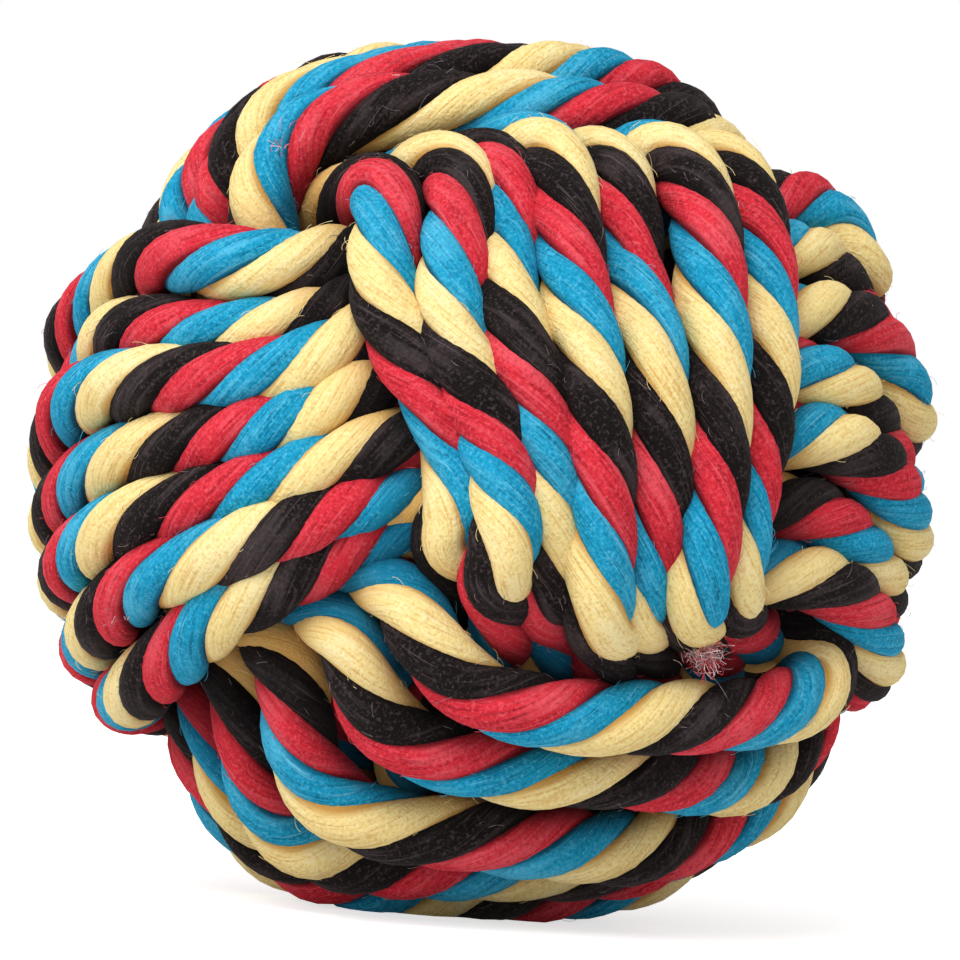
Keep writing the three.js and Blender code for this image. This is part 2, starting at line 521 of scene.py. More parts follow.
@dataclass
class LaidRope:
    """The laid rope: four strands twisted round each other to the left. Its sizes are in metres.

    Args:
        tying: How the knot that it makes was tied.
        lay_length: The length in which a strand goes once round the rope.
        strand_middle: How far a strand's middle lies from the rope's middle.
        strand_height: Half a strand's height away from the rope's middle.
        strand_width: Half a strand's width.
        squeeze: The share of the rope's width that its neighbours leave it.
        uneven_thickness: The share by which a strand's thickness wanders.
        uneven_lay: How far the lay wanders, in shares of a lay.
        lay_waves: The lay's shortest and longest waves.
        uneven_height: The share by which a strand's height wanders.
        height_wave: The shortest wave of a strand's height.
        strand_seeds: How far apart the windings' strand seeds are.
        steps: How many steps a winding has.
        sides: How many sides a strand has.
        thickness: Each strand's share of the usual thickness.
    """

    tying: HandTying
    lay_length: float = 0.0258
    strand_middle: float = 0.00214
    strand_height: float = 0.00216
    strand_width: float = 0.00228
    squeeze: float = 0.80
    uneven_thickness: float = 0.065
    uneven_lay: float = 0.06
    lay_waves: tuple[float, float] = (0.05, 0.2)
    uneven_height: float = 0.05
    height_wave: float = 0.02
    strand_seeds: int = 10
    steps: int = 1600
    sides: int = 14
    thickness: dict[Strand, float] = field(
        default_factory=lambda: {
            Strand.RED: 0.98,
            Strand.BLUE: 0.94,
            Strand.YELLOW: 1.04,
            Strand.BLACK: 1.02,
        }
    )

    def run(self, winding: Winding) -> RopeRun:
        """The rope's middle along a winding."""
        return RopeRun(self.tying, winding, self.steps)

    def twist(self, run: RopeRun, strand: Strand) -> np.ndarray:
        """How far a strand stands round from the rope's outer side, in radians.

        Args:
            run: The rope's middle along its winding.
            strand: The strand that is asked for.

        Returns:
            One angle for each point of the run.
        """
        wander = Unevenness(run.winding.seed + SeedShift.LAY, *self.lay_waves).along(run.distance)
        nudges = np.array(LAY_NUDGES[run.winding.node])
        nudge = np.interp(run.turn, nudges[:, 0], nudges[:, 1])
        lays = run.distance / self.lay_length + self.uneven_lay * wander + nudge
        return 2 * math.pi * (run.winding.heading * strand.value / len(Strand) - lays)

    def strand_frame(self, run: RopeRun, strand: Strand) -> tuple[np.ndarray, ...]:
        """A strand's middle and its half height and half width as vectors.

        Args:
            run: The rope's middle along its winding.
            strand: The strand that is asked for.

        Returns:
            The points, the vectors away from the rope's middle and the vectors to the side.
        """
        turned = self.twist(run, strand)
        seed = run.winding.seed * self.strand_seeds + strand.value
        swell = 1 + self.uneven_thickness * Unevenness(seed).along(run.distance)
        swell = swell * self.thickness[strand]
        height = Unevenness(seed + SeedShift.STRAND_HEIGHT, self.height_wave).along(run.distance)
        proud = 1 + self.uneven_height * height
        offset = np.cos(turned)[:, None] * run.outward
        offset = offset + self.squeeze * np.sin(turned)[:, None] * run.across
        middle = run.points + offset * (self.strand_middle * proud)[:, None]
        heading = np.gradient(middle, axis=0)
        heading /= np.linalg.norm(heading, axis=1)[:, None]
        away = offset - (offset * heading).sum(axis=1)[:, None] * heading
        away /= np.linalg.norm(away, axis=1)[:, None]
        beside = np.cross(heading, away)
        return (
            middle,
            away * (self.strand_height * swell)[:, None],
            beside * (self.strand_width * swell)[:, None],
        )


@dataclass(frozen=True)
class CottonDye:
    """One dye of the cotton, as scene linear colours.

    Args:
        name: The dye's name.
        main: The colour of most fibres.
        pale: The colour of fibres that took less dye.
        deep: The colour between the fibres, also used as painted shade in the creases and sunk
            places.
        fleck: The colour of the stray streaks.
        fleck_share: How strongly the stray streaks show.
        lint: How strongly pale lint shows.
    """

    name: str
    main: tuple[float, float, float]
    pale: tuple[float, float, float]
    deep: tuple[float, float, float]
    fleck: tuple[float, float, float]
    fleck_share: float
    lint: float


def written(red: int, green: int, blue: int) -> tuple[float, float, float]:
    """A colour as scene linear values.

    Args:
        red: Its red as a screen has it, from 0 to 255.
        green: Its green.
        blue: Its blue.

    Returns:
        The three values.
    """
    parts = []
    for value in (red, green, blue):
        share = value / 255
        parts.append(share / 12.92 if share <= 0.04045 else ((share + 0.055) / 1.055) ** 2.4)
    return (parts[0], parts[1], parts[2])


DYES = {
    Strand.RED: CottonDye(
        name="red",
        main=written(208, 44, 58),
        pale=written(230, 96, 106),
        deep=written(78, 5, 14),
        fleck=written(246, 120, 126),
        fleck_share=0.30,
        lint=0.12,
    ),
    Strand.BLUE: CottonDye(
        name="blue",
        main=written(22, 148, 188),
        pale=written(92, 188, 220),
        deep=written(2, 50, 76),
        fleck=written(150, 214, 236),
        fleck_share=0.35,
        lint=0.14,
    ),
    Strand.YELLOW: CottonDye(
        name="yellow",
        main=written(238, 214, 144),
        pale=written(246, 232, 182),
        deep=written(190, 134, 56),
        fleck=written(226, 158, 70),
        fleck_share=0.40,
        lint=0.05,
    ),
    Strand.BLACK: CottonDye(
        name="black",
        main=written(18, 13, 12),
        pale=written(78, 67, 68),
        deep=written(4, 3, 3),
        fleck=written(112, 94, 99),
        fleck_share=0.35,
        lint=0.6,
    ),
}


class CottonYarnEffect:
    """The shared node group that makes cotton yarn out of a place on a strand."""

    NAME = "cotton_yarn"
    PLACES = ("Yarn Place", "Ball Place")
    COLOURS = ("Main", "Pale", "Deep", "Fleck")
    VALUES = ("Fleck Share", "Lint")
    RESULTS = {"Color": "Color", "Roughness": "Float", "Height": "Float"}

    # How fine each noise is round and along a strand per metre, and how many finer layers it has.
    YARN_NOISES = {
        "fibres": ((4200.0, 230.0, 1.0), 3.0),
        "rovings": ((1400.0, 85.0, 1.0), 3.0),
        "strays": ((3800.0, 160.0, 1.0), 1.0),
    }
    # How fine each noise is over the ball per metre, and how many finer layers it has.
    BALL_NOISES = {
        "mottle": ((110.0, 110.0, 110.0), 3.0),
        "fuzz": ((2600.0, 2600.0, 2600.0), 3.0),
        "tufts": ((1300.0, 1300.0, 1300.0), 4.0),
    }
    NOISE_ROUGHNESS = 0.6
    # The low and high ends that each share comes from, then those that it goes to.
    RANGES = {
        "deep": (0.34, 0.52, 0.5, 0.0),
        "pale": (0.95, 1.25, 0.0, 0.5),
        "stray": (0.62, 0.74, 0.0, 1.0),
        "lint": (0.60, 0.78, 0.0, 1.0),
        "grain": (0.50, 0.70, 0.0, 0.55),
        "shade": (0.32, 0.48, 0.36, 0.0),
        # Painted shade: the creases between strands and the places that lie sunk toward the ball's
        # middle are darkened toward the deep colour.
        "painted_crease_shade": (0.0016, 0.0027, 0.0, 0.9),
        "sunk": (0.0425, 0.0472, 0.75, 0.0),
        "rough": (0.3, 0.7, 0.86, 1.0),
    }
    # How far each noise stands up in the relief.
    HEIGHTS = {"rovings": 0.8, "fibres": 0.55, "fuzz": 0.8, "tufts": 0.5}

    def __init__(self) -> None:
        """Takes the group that is there, or builds it with its inputs and outputs."""
        self.tree = bpy.data.node_groups.get(self.NAME)
        if self.tree is not None:
            return
        self.tree = bpy.data.node_groups.new(self.NAME, "ShaderNodeTree")
        for side, sockets in (
            ("INPUT", dict.fromkeys(self.PLACES, "Vector")),
            ("INPUT", dict.fromkeys(self.COLOURS, "Color")),
            ("INPUT", dict.fromkeys(self.VALUES, "Float")),
            ("OUTPUT", self.RESULTS),
        ):
            for name, kind in sockets.items():
                kind = f"NodeSocket{kind}"
                self.tree.interface.new_socket(name, in_out=side, socket_type=kind)
        self._fill()

    def _noise(
        self, place: bpy.types.NodeSocket, stretch: tuple[float, float, float], detail: float
    ) -> bpy.types.NodeSocket:
        """A noise over a place.

        Args:
            place: The place to read.
            stretch: How fine the noise is in each direction, per metre.
            detail: How many finer layers it has.

        Returns:
            The noise's value.
        """
        stretched = add_node(self.tree, "VectorMath", {0: place, 1: stretch}, "MULTIPLY")
        given = {
            "Vector": stretched.outputs[0],
            "Scale": 1.0,
            "Detail": detail,
            "Roughness": self.NOISE_ROUGHNESS,
        }
        return add_node(self.tree, "TexNoise", given).outputs["Fac"]

    def _share(self, value: bpy.types.NodeSocket, name: str) -> bpy.types.NodeSocket:
        """A value spread over a range.

        Args:
            value: The value to spread.
            name: The range's name.

        Returns:
            The share that it stands for.
        """
        ends = zip(("From Min", "From Max", "To Min", "To Max"), self.RANGES[name])
        spread = add_node(self.tree, "MapRange", {"Value": value, **dict(ends)})
        spread.interpolation_type = "SMOOTHSTEP"
        return spread.outputs["Result"]

    def _mix(
        self, share: bpy.types.NodeSocket, first: bpy.types.NodeSocket, second: bpy.types.NodeSocket
    ) -> bpy.types.NodeSocket:
        """A colour between two others.

        Args:
            share: How much of the second colour shows.
            first: The first colour.
            second: The second colour.

        Returns:
            The mixed colour.
        """
        mix = add_node(self.tree, "Mix", {})
        mix.data_type = "RGBA"
        for name, socket in (("Factor", share), ("A", first), ("B", second)):
            self.tree.links.new(socket, mix.inputs[name])
        return mix.outputs["Result"]

    def _math(
        self, operation: str, first: bpy.types.NodeSocket, second: bpy.types.NodeSocket | float
    ) -> bpy.types.NodeSocket:
        """Two values put together, of which the second may be a number."""
        return add_node(self.tree, "Math", {0: first, 1: second}, operation).outputs[0]

    def _beside(self, yarn: bpy.types.NodeSocket) -> bpy.types.NodeSocket:
        """How far a place lies round its strand from the strand's outer side, where painted shade
        darkens the creases.

        Args:
            yarn: The place on the strand.

        Returns:
            The distance in metres.
        """
        across = add_node(self.tree, "SeparateXYZ", {0: yarn}).outputs["X"]
        offset = self._math("SUBTRACT", across, STRAND_ROUND / 2)
        return self._math("ABSOLUTE", offset, 0.0)

    def _height(self, place: bpy.types.NodeSocket) -> bpy.types.NodeSocket:
        """How far a place lies from the ball's middle, since places that lie deeper get painted
        shade.

        Args:
            place: The place to read.

        Returns:
            The distance in metres.
        """
        offset = add_node(self.tree, "VectorMath", {0: place, 1: core_middle()}, "SUBTRACT")
        length = add_node(self.tree, "VectorMath", {0: offset.outputs["Vector"]}, "LENGTH")
        return length.outputs["Value"]

    def _fill(self) -> None:
        """Puts the group's nodes together."""
        given = self.tree.nodes.new("NodeGroupInput").outputs
        result = self.tree.nodes.new("NodeGroupOutput").inputs
        yarn, ball = given["Yarn Place"], given["Ball Place"]
        noise = {name: self._noise(yarn, *values) for name, values in self.YARN_NOISES.items()}
        noise |= {name: self._noise(ball, *values) for name, values in self.BALL_NOISES.items()}

        uneven_dye = self._math("ADD", noise["rovings"], noise["mottle"])
        stray = self._share(noise["strays"], "stray")
        lint = self._share(noise["tufts"], "lint")
        # Besides the fuzz's random dark flecks, shade is painted into the creases between strands
        # and where the rope lies sunk.
        shade = self._share(noise["fuzz"], "shade")
        shade = self._math("MAXIMUM", shade, self._share(self._beside(yarn), "painted_crease_shade"))
        shade = self._math("MAXIMUM", shade, self._share(self._height(ball), "sunk"))
        colour = given["Main"]
        for tint, share in (
            ("Deep", self._share(noise["fibres"], "deep")),
            ("Pale", self._share(uneven_dye, "pale")),
            ("Fleck", self._math("MULTIPLY", stray, given["Fleck Share"])),
            ("Pale", self._math("MULTIPLY", lint, given["Lint"])),
            ("Pale", self._share(noise["fuzz"], "grain")),
            ("Deep", shade),
        ):
            colour = self._mix(share, colour, given[tint])
        self.tree.links.new(colour, result["Color"])
        self.tree.links.new(self._share(noise["fuzz"], "rough"), result["Roughness"])

        height, *others = (
            self._math("MULTIPLY", noise[name], share) for name, share in self.HEIGHTS.items()
        )
        for other in others:
            height = self._math("ADD", height, other)
        self.tree.links.new(height, result["Height"])


@dataclass(frozen=True)
class CottonFinish:
    """The finish of dyed cotton yarn.

    Args:
        dye: The cotton's dye.
        rope_length: The length in metres that the yarn's map runs over.
        gloss: How strongly it mirrors light.
        sheen: How strongly its fibres catch light from the side.
        sheen_roughness: How far that light spreads.
        relief_share: How strongly the yarn's relief shows.
        relief_depth: How deep it is, in metres.
    """

    dye: CottonDye
    rope_length: float
    gloss: float = 0.12
    sheen: float = 0.14
    sheen_roughness: float = 0.45
    relief_share: float = 0.9
    relief_depth: float = 0.00022

    def material(self) -> bpy.types.Material:
        """The cotton as a material.

        Returns:
            The material, with its yarn along the piece's own map.
        """
        made, tree, shader = new_material(f"{self.dye.name}_cotton")
        shader.inputs["Specular IOR Level"].default_value = self.gloss
        shader.inputs["Sheen Weight"].default_value = self.sheen
        shader.inputs["Sheen Roughness"].default_value = self.sheen_roughness
        shader.inputs["Sheen Tint"].default_value = (*self.dye.pale, 1.0)
        yarn_map = add_node(tree, "UVMap", {})
        yarn_map.uv_map = YARN_MAP
        size = (STRAND_ROUND, self.rope_length, 1.0)
        metres = add_node(tree, "VectorMath", {0: yarn_map.outputs["UV"], 1: size}, "MULTIPLY")
        effect = add_node(tree, "Group", {})
        effect.node_tree = CottonYarnEffect().tree
        colours = (self.dye.main, self.dye.pale, self.dye.deep, self.dye.fleck)
        for name, colour in zip(CottonYarnEffect.COLOURS, colours):
            effect.inputs[name].default_value = (*colour, 1.0)
        effect.inputs["Fleck Share"].default_value = self.dye.fleck_share
        effect.inputs["Lint"].default_value = self.dye.lint
        place = add_node(tree, "TexCoord", {})
        tree.links.new(metres.outputs[0], effect.inputs["Yarn Place"])
        tree.links.new(place.outputs["Object"], effect.inputs["Ball Place"])
        tree.links.new(effect.outputs["Color"], shader.inputs["Base Color"])
        tree.links.new(effect.outputs["Roughness"], shader.inputs["Roughness"])
        add_relief(shader, effect.outputs["Height"], self.relief_share, self.relief_depth)
        return made


@dataclass
class RopeWinding:
    """One winding of the knot as laid rope.

    Args:
        rope: The laid rope.
        winding: The winding that it makes.
        materials: The material of each strand.
        floor_clearance: How far it stays above the floor, in metres.
        same_place: The distance in metres within which points are joined.
    """

    rope: LaidRope
    winding: Winding
    materials: dict[Strand, bpy.types.Material]
    floor_clearance: float = 0.00005
    same_place: float = 1e-7

    def build(self) -> bpy.types.Object:
        """Lays the winding's strands and joins them in one piece.

        Returns:
            The piece, which replaces the winding's plain tube.
        """
        run = self.rope.run(self.winding)
        shape = bmesh.new()
        shape.loops.layers.uv.new(YARN_MAP)
        for strand in Strand:
            self._add_strand(shape, run, strand)
        bmesh.ops.recalc_face_normals(shape, faces=shape.faces)
        for face in shape.faces:
            face.smooth = True
        mesh = bpy.data.meshes.new(f"{self.winding.node}_rope")
        shape.to_mesh(mesh)
        shape.free()
        for strand in Strand:
            mesh.materials.append(self.materials[strand])
        piece = linked(mesh.name, mesh)
        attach(piece, BODY)
        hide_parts(self.winding.node)
        LOG.info("%s: %d faces, %.2f m of rope", piece.name, len(mesh.polygons), run.distance[-1])
        return piece

    def _add_strand(self, shape: bmesh.types.BMesh, run: RopeRun, strand: Strand) -> None:
        """Wraps a flat grid round a strand's route and closes it.

        Args:
            shape: The mesh that the strand is added to.
            run: The rope's middle along the winding.
            strand: The strand to add.
        """
        steps, sides = len(run.turn) - 1, self.rope.sides
        part = bmesh.new()
        part.loops.layers.uv.new(YARN_MAP)
        bmesh.ops.create_grid(part, x_segments=sides, y_segments=steps, size=1, calc_uvs=True)
        flat = np.array([vert.co[:2] for vert in part.verts])
        turned = flat[:, 0] * math.pi
        row = np.rint((flat[:, 1] + 1) / 2 * steps).astype(int)
        middle, height, width = self.rope.strand_frame(run, strand)
        points = middle[row] + np.cos(turned)[:, None] * height[row]
        points = self.rope.tying.knot.stand(points + np.sin(turned)[:, None] * width[row])
        points[:, 2] = np.maximum(points[:, 2], self.floor_clearance)
        for vert, point in zip(part.verts, points):
            vert.co = point
        bmesh.ops.remove_doubles(part, verts=part.verts, dist=self.same_place)
        open_edges = [edge for edge in part.edges if edge.is_boundary]
        bmesh.ops.holes_fill(part, edges=open_edges, sides=sides)
        for face in part.faces:
            face.material_index = strand.value
        bridge = bpy.data.meshes.new("strand")
        part.to_mesh(bridge)
        part.free()
        shape.from_mesh(bridge)
        bpy.data.meshes.remove(bridge)


@dataclass(frozen=True)
class Threads:
    """Loose fibres, each a thin closed thread.

    Args:
        name: The piece's name.
        materials: The materials that the fibres take.
        thickness: The radius of a fibre in metres.
    """

    name: str
    materials: tuple[bpy.types.Material, ...]
    thickness: float = 0.000022

    def build(self, fibres: list[tuple[np.ndarray, int]]) -> bpy.types.Object:
        """Makes one piece of all fibres.

        Args:
            fibres: The points of each fibre and which material it takes.

        Returns:
            The piece.
        """
        curve = bpy.data.curves.new(self.name, "CURVE")
        curve.dimensions = "3D"
        curve.bevel_depth = self.thickness
        curve.bevel_resolution = 0
        curve.use_fill_caps = True
        for material in self.materials:
            curve.materials.append(material)
        for points, material_index in fibres:
            if points[:, 2].min() < self.thickness * 2:
                # It would reach through the floor.
                continue
            spline = curve.splines.new("POLY")
            spline.points.add(len(points) - 1)
            for point, place in zip(spline.points, points):
                point.co = (*place, 1.0)
            spline.material_index = material_index
        piece = linked(self.name, tube_mesh(curve))
        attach(piece, BODY)
        LOG.info("%s: %d faces", piece.name, len(piece.data.polygons))
        return piece


@dataclass
class RopeFuzz:
    """The fibres that stand off a winding's outer side.

    Args:
        rope: The laid rope.
        winding: The winding that they grow on.
        materials: The material of each strand's fibres.
        count: How many fibres there are.
        lengths: The shortest and the longest fibre in metres.
        around: How far round from the strand's outer side they grow, in radians.
        lifts: How little and how much they lift off the strand, in lift shares.
        lift_share: A lift of one as a share of the fibre's length.
        arch: The share of half a wave that a fibre's lift follows.
        sunk: How deep a fibre's foot is sunk, in lift shares.
        sway: How far they sway to the side, in sway shares.
        sway_share: A sway of one as a share of the fibre's length.
        curl: How unevenly they sway along their length.
        bare_ends: How many of the run's steps stay bare at each end.
        near_steps: How many steps away the strand's direction is read.
        hidden_radius: How near the ball's middle the rope is hidden, in metres.
        bends: How many straight parts a fibre has.
    """

    rope: LaidRope
    winding: Winding
    materials: dict[Strand, bpy.types.Material]
    count: int = 2800
    lengths: tuple[float, float] = (0.0005, 0.0017)
    around: float = 1.2
    lifts: tuple[float, float] = (0.15, 0.75)
    lift_share: float = 0.6
    arch: float = 0.62
    sunk: float = 0.02
    sway: float = 0.7
    sway_share: float = 0.5
    curl: float = 0.5
    bare_ends: int = 4
    near_steps: int = 2
    hidden_radius: float = 0.038
    bends: int = 4

    def build(self) -> bpy.types.Object:
        """Grows the winding's fibres.

        Returns:
            The piece that holds them.
        """
        run = self.rope.run(self.winding)
        chance = np.random.default_rng(self.winding.seed + SeedShift.FUZZ)
        fibres = []
        for strand in Strand:
            frames = self.rope.strand_frame(run, strand)
            grown = [self._fibre(chance, frames) for _ in range(self.count // len(Strand))]
            fibres += [(points, strand.value) for points in grown if points is not None]
        materials = tuple(self.materials[strand] for strand in Strand)
        return Threads(f"{self.winding.node}_fuzz", materials).build(fibres)

    def _fibre(
        self, chance: np.random.Generator, frames: tuple[np.ndarray, ...]
    ) -> np.ndarray | None:
        """One fibre that leaves the strand and curls along it.

        Args:
            chance: The source of chance.
            frames: The strand's middles, half heights and half widths.

        Returns:
            The fibre's points, or nothing where the rope is hidden.
        """
        middle, height, width = frames
        at = int(chance.integers(self.bare_ends, len(middle) - self.bare_ends))
        around = chance.uniform(-self.around, self.around)
        foot = middle[at] + math.cos(around) * height[at] + math.sin(around) * width[at]
        off = foot - middle[at]
        off /= np.linalg.norm(off)
        along = middle[at + self.near_steps] - middle[at - self.near_steps]
        along *= chance.choice((-1.0, 1.0)) / np.linalg.norm(along)
        side = np.cross(off, along) * chance.normal(0, self.sway)
        length = chance.uniform(*self.lengths)
        lift = chance.uniform(*self.lifts)
        curl = chance.normal(0, self.curl)
        if np.linalg.norm(foot) < self.hidden_radius:
            return None
        share = np.linspace(0, 1, self.bends + 1)[:, None]
        rise = (lift * np.sin(share * math.pi * self.arch) - self.sunk) * self.lift_share
        sway = share * (share + curl) * self.sway_share
        points = foot + length * (along * share + off * rise + side * sway)
        return self.rope.tying.knot.stand(points)


@dataclass(frozen=True)
class Tuft:
    """A tuft of loose cotton that sticks out of the knot.

    Args:
        x: Where it stands beside the ball's middle, in metres.
        z: Where it stands above the ball's middle, in metres.
        count: How many fibres it has.
        spread: The radius that its feet cover, in metres.
        length: Its longest fibre in metres.
        height: How far its feet lie from the ball's middle, in metres.
    """

    x: float
    z: float
    count: int
    spread: float
    length: float
    height: float


# The frayed end of the rope, then three flecks of lint.
TUFTS = (
    Tuft(0.0245, -0.0165, 320, 0.0009, 0.0015, 0.0462),
    Tuft(-0.0363, -0.0164, 26, 0.0005, 0.0014, 0.0482),
    Tuft(-0.0233, 0.0340, 22, 0.0005, 0.0013, 0.0482),
    Tuft(-0.0120, 0.0407, 20, 0.0006, 0.0014, 0.0482),
)


@dataclass
class LooseCotton:
    """The frayed rope end and the lint on the side that faces the camera.

    Args:
        knot: The knot that they stick out of.
        materials: The materials of the fibres, which are dealt out by chance.
        outward: How little and how much a fibre stands straight out, in shares of its length.
        stray: How far it strays from there.
        curl: How far it curls.
        least_length: The shortest fibre's share of the longest.
        thickness: The radius of a fibre in metres.
        bends: How many straight parts a fibre has.
        seed: Picks the fibres.
    """

    knot: BallKnot
    materials: tuple[bpy.types.Material, ...]
    outward: tuple[float, float] = (0.1, 0.9)
    stray: float = 0.55
    curl: float = 0.5
    least_length: float = 0.4
    thickness: float = 0.00003
    bends: int = 4
    seed: int = 77

    def build(self) -> bpy.types.Object:
        """Grows all tufts.

        Returns:
            The piece that holds them.
        """
        chance = np.random.default_rng(self.seed)
        shares = np.linspace(0, 1, self.bends + 1)[:, None]
        fibres = []
        for tuft in TUFTS:
            place = np.array((tuft.x, -math.sqrt(tuft.height**2 - tuft.x**2 - tuft.z**2), tuft.z))
            outward = place / np.linalg.norm(place)
            for _ in range(tuft.count):
                foot = place + chance.normal(0, tuft.spread, 3)
                way = outward * chance.uniform(*self.outward) + chance.normal(0, self.stray, 3)
                bend = chance.normal(0, self.curl, 3)
                length = tuft.length * chance.uniform(self.least_length, 1)
                points = foot + length * (way * shares + bend * shares**2)
                fibres.append((self.knot.stand(points), int(chance.integers(len(self.materials)))))
        return Threads("loose_cotton", self.materials, self.thickness).build(fibres)


@dataclass
class WoundCore:
    """The ball of plain cord that the knot is tied round.

    Args:
        knot: The knot round it.
        cord_radius: The cord's radius in metres.
        wraps: How often the cord goes round the ball.
        steps_per_wrap: How many steps a wrap has.
        turn_per_wrap: How far each wrap is turned on from the last: the golden angle in radians.
        smoothness: How often the faces of the ball inside are divided.
    """

    knot: BallKnot
    cord_radius: float = 0.0009
    wraps: int = 70
    steps_per_wrap: int = 40
    turn_per_wrap: float = 2.399963
    smoothness: int = 4

    def build(self, material: bpy.types.Material) -> bpy.types.Object:
        """Winds the cord round the core's middle in great circles.

        Args:
            material: The plain cotton of the cord.

        Returns:
            The piece, which replaces the plain core.
        """
        low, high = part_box("core_ball")
        radius = (Vector(high) - Vector(low)).z / 2 - self.cord_radius
        cord = bpy.data.curves.new("wound_core", "CURVE")
        cord.dimensions = "3D"
        cord.bevel_depth = self.cord_radius
        cord.bevel_resolution = 1
        for wrap in range(self.wraps):
            self._add_wrap(cord, radius, wrap)
        solid = tube_mesh(cord)
        shape = bmesh.new()
        shape.from_mesh(solid)
        bmesh.ops.create_icosphere(
            shape,
            subdivisions=self.smoothness,
            radius=radius,
            matrix=Matrix.Translation(self.knot.centre),
        )
        for face in shape.faces:
            face.smooth = True
        shape.to_mesh(solid)
        shape.free()
        solid.materials.clear()
        solid.materials.append(material)
        piece = linked("wound_core", solid)
        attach(piece, BODY)
        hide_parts("core_ball")
        LOG.info("%s: %d faces, %d wraps", piece.name, len(solid.polygons), self.wraps)
        return piece

    def _add_wrap(self, cord: bpy.types.Curve, radius: float, wrap: int) -> None:
        """Adds one closed wrap of cord.

        Args:
            cord: The curve that holds the wraps.
            radius: The radius of the cord's middle.
            wrap: Which wrap it is.
        """
        height = 1 - 2 * (wrap + 0.5) / self.wraps
        pole = Vector((math.sqrt(1 - height**2), 0, height))
        pole.rotate(Euler((0, 0, wrap * self.turn_per_wrap)))
        turned = pole.to_track_quat("Z", "Y").to_matrix()
        ring = cord.splines.new("POLY")
        ring.points.add(self.steps_per_wrap - 1)
        ring.use_cyclic_u = True
        for step, point in enumerate(ring.points):
            angle = 2 * math.pi * step / self.steps_per_wrap
            place = turned @ Vector((math.cos(angle), math.sin(angle), 0)) * radius
            point.co = (*(place + self.knot.centre), 1.0)


@dataclass(frozen=True)
class PlainCottonFinish:
    """Cotton without the yarn's map, as the core's cord and the loose fibres have it.

    Args:
        name: The material's name.
        fibre: The colour of the fibres.
        shade: The colour between the fibres.
        gloss: How strongly it mirrors light.
        roughness: How rough it is.
        fineness: How fine its fibres are, per metre.
        detail: How many finer layers they have.
        shade_end: Where the shade ends in the fibres' noise.
        fibre_start: Where the fibres' own colour starts in it.
        relief_share: How strongly its relief shows.
        relief_depth: How deep that is, in metres.
    """

    name: str = "plain_cotton"
    fibre: tuple[float, float, float] = written(206, 194, 168)
    shade: tuple[float, float, float] = written(150, 134, 104)
    gloss: float = 0.2
    roughness: float = 0.95
    fineness: float = 1400.0
    detail: float = 4.0
    shade_end: float = 0.35
    fibre_start: float = 0.6
    relief_share: float = 0.8
    relief_depth: float = 0.0002

    def material(self) -> bpy.types.Material:
        """The cotton as a material, with fine fibres over its colour and relief."""
        made, tree, shader = new_material(self.name)
        shader.inputs["Specular IOR Level"].default_value = self.gloss
        shader.inputs["Roughness"].default_value = self.roughness
        given = {
            "Vector": add_node(tree, "TexCoord", {}).outputs["Object"],
            "Scale": self.fineness,
            "Detail": self.detail,
        }
        noise = add_node(tree, "TexNoise", given)
        ramp = add_node(tree, "ValToRGB", {"Fac": noise.outputs["Fac"]})
        stops = ((self.shade_end, self.shade), (self.fibre_start, self.fibre))
        for stop, (position, colour) in zip(ramp.color_ramp.elements, stops):
            stop.position = position
            stop.color = (*colour, 1.0)
        tree.links.new(ramp.outputs["Color"], shader.inputs["Base Color"])
        add_relief(shader, noise.outputs["Fac"], self.relief_share, self.relief_depth)
        return made


@dataclass(frozen=True)
class SoftLamp:
    """A round lamp that shines on the ball.

    Args:
        name: The lamp's name.
        place: Where it stands, in metres.
        size: How wide it is, in metres.
        power: Its power in watts.
    """

    name: str
    place: tuple[float, float, float]
    size: float
    power: float


# A large lamp from above and in front, and a weaker one from the left.
LAMPS = (
    SoftLamp("key_lamp", (-0.25, -0.75, 0.95), 0.9, 12.4),
    SoftLamp("side_lamp", (-0.9, -0.5, 0.35), 0.6, 2.6),
)


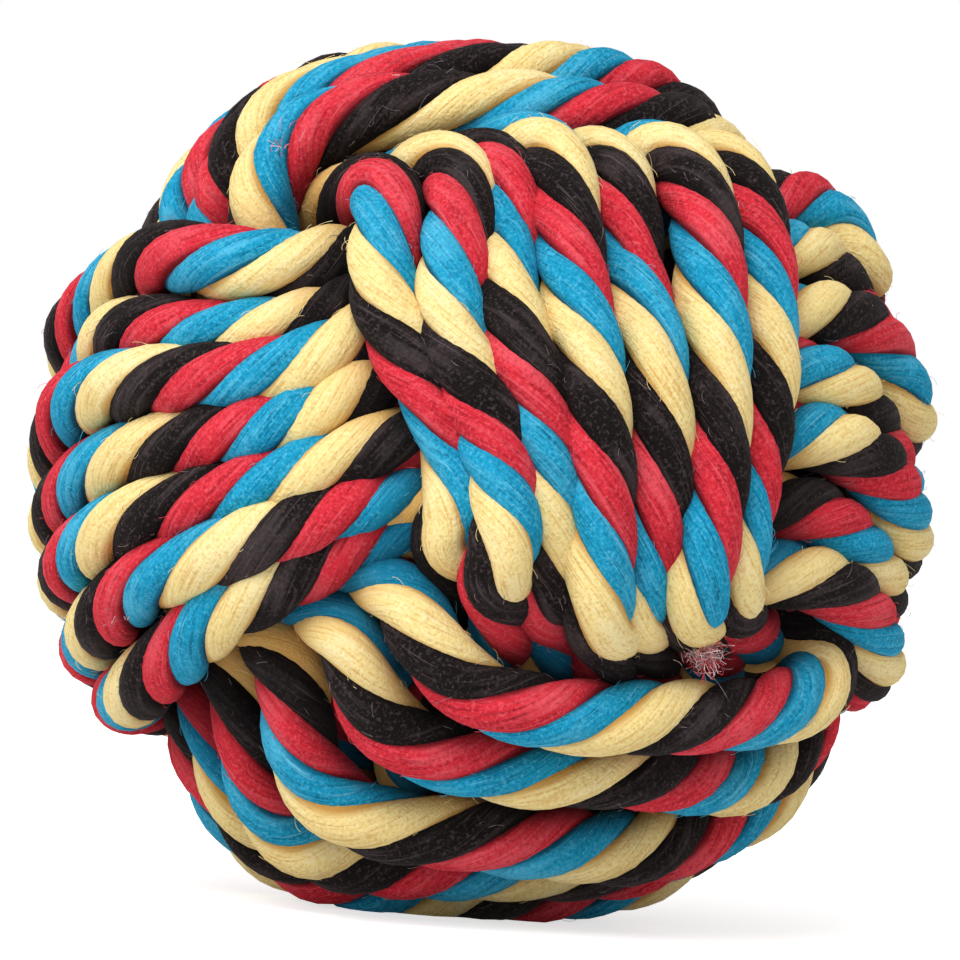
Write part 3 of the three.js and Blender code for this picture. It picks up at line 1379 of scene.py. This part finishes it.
@dataclass
class Studio:
    """The white floor, the soft lamps and the camera.

    Args:
        middle: The point that the camera looks at.
        camera_distance: How far away the camera stands, in metres.
        camera_roll_degrees: How far it is rolled.
        view_width: The width in metres that it sees at that point.
        sensor: The width of its sensor in millimetres.
        floor_size: Half the floor's width in metres.
        floor_white: How light the floor is.
        floor_glow: How much it glows for a ray that should see white.
        sky_strength: How strongly the sky lights the ball.
    """

    middle: Vector
    camera_distance: float = 0.62
    camera_roll_degrees: float = 4.0
    view_width: float = 0.1062
    sensor: float = 36.0
    floor_size: float = 6.0
    floor_white: float = 0.85
    floor_glow: float = 0.66
    sky_strength: float = 0.50

    def build(self) -> None:
        """Sets the whole studio up."""
        self._floor()
        self._world()
        self._lamps()
        self._camera()
        bpy.context.scene.view_settings.view_transform = "Standard"

    def _white_for_camera(self, tree: bpy.types.NodeTree) -> bpy.types.NodeSocket:
        """Tells where a camera, a gloss or a clear ray looks.

        Args:
            tree: The tree that the nodes go in.

        Returns:
            One where such a ray looks, and otherwise nought.
        """
        rays = add_node(tree, "LightPath", {}).outputs
        seen = rays["Is Camera Ray"]
        for name in ("Is Glossy Ray", "Is Transmission Ray"):
            seen = add_node(tree, "Math", {0: seen, 1: rays[name]}, "MAXIMUM").outputs[0]
        return seen

    def _floor(self) -> None:
        """A wide white floor that keeps the ball's shadow."""
        shape = bmesh.new()
        bmesh.ops.create_grid(shape, x_segments=1, y_segments=1, size=self.floor_size)
        mesh = bpy.data.meshes.new("floor")
        shape.to_mesh(mesh)
        shape.free()
        material, tree, shader = new_material("white_floor")
        shader.inputs["Base Color"].default_value = (*[self.floor_white] * 3, 1.0)
        shader.inputs["Roughness"].default_value = 1.0
        shader.inputs["Specular IOR Level"].default_value = 0.0
        shader.inputs["Emission Color"].default_value = (1.0, 1.0, 1.0, 1.0)
        seen = self._white_for_camera(tree)
        glow = add_node(tree, "Math", {0: seen, 1: self.floor_glow}, "MULTIPLY")
        tree.links.new(glow.outputs[0], shader.inputs["Emission Strength"])
        mesh.materials.append(material)
        floor = linked("floor", mesh)

    def _world(self) -> None:
        """A soft pale sky that the camera sees as white."""
        world = bpy.data.worlds.new("studio_sky")
        bpy.context.scene.world = world
        world.use_nodes = True
        tree = world.node_tree
        sky = tree.nodes["Background"]
        sky.inputs["Color"].default_value = (1.0, 1.0, 1.0, 1.0)
        given = {"Value": self._white_for_camera(tree), "To Min": self.sky_strength, "To Max": 1.0}
        spread = add_node(tree, "MapRange", given)
        tree.links.new(spread.outputs["Result"], sky.inputs["Strength"])

    def _lamps(self) -> None:
        """The soft lamps, each aimed at the ball."""
        for lamp in LAMPS:
            shine = bpy.data.lights.new(lamp.name, "AREA")
            shine.shape = "DISK"
            shine.size = lamp.size
            shine.energy = lamp.power
            light = linked(lamp.name, shine)
            light.location = lamp.place
            aim = self.middle - Vector(lamp.place)
            light.rotation_euler = aim.to_track_quat("-Z", "Y").to_euler()

    def _camera(self) -> None:
        """A camera level with the ball, in front of it."""
        camera = bpy.data.cameras.new("camera")
        camera.sensor_width = self.sensor
        camera.lens = self.sensor * self.camera_distance / self.view_width
        stand = linked("camera", camera)
        stand.location = self.middle + Vector((0, -self.camera_distance, 0))
        level = Euler((math.pi / 2, 0, 0)).to_matrix()
        roll = Matrix.Rotation(math.radians(self.camera_roll_degrees), 3, "Z")
        stand.rotation_euler = (level @ roll).to_euler()
        bpy.context.scene.camera = stand


def write_sizes() -> None:
    """Brings the view layer up to date."""
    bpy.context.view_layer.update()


def main() -> None:
    """Builds the toy's pieces and the studio in order."""
    logging.basicConfig(level=logging.INFO, format="%(message)s")
    knot = BallKnot()
    rope = LaidRope(HandTying(knot))
    length = rope.run(WINDINGS[0]).distance[-1]
    materials = {strand: CottonFinish(dye, length).material() for strand, dye in DYES.items()}
    fibres = {
        strand: PlainCottonFinish(f"{dye.name}_fibres", dye.pale, dye.main).material()
        for strand, dye in DYES.items()
        if strand is not Strand.BLACK
    }
    # The fibres that stand off the black strands catch pale lint.
    linty = PlainCottonFinish("linty_fibres", written(150, 134, 138), written(92, 80, 84))
    fibres[Strand.BLACK] = linty.material()
    for winding in WINDINGS:
        RopeWinding(rope, winding, materials).build()
        RopeFuzz(rope, winding, fibres).build()
    pink = PlainCottonFinish("loose_cotton", written(244, 222, 224), written(214, 166, 172))
    loose = pink.material()
    LooseCotton(knot, (loose, loose, fibres[Strand.RED], fibres[Strand.BLACK])).build()
    WoundCore(knot).build(PlainCottonFinish().material())
    Studio(knot.centre).build()
    write_sizes()


if __name__ == "__main__":
    main()
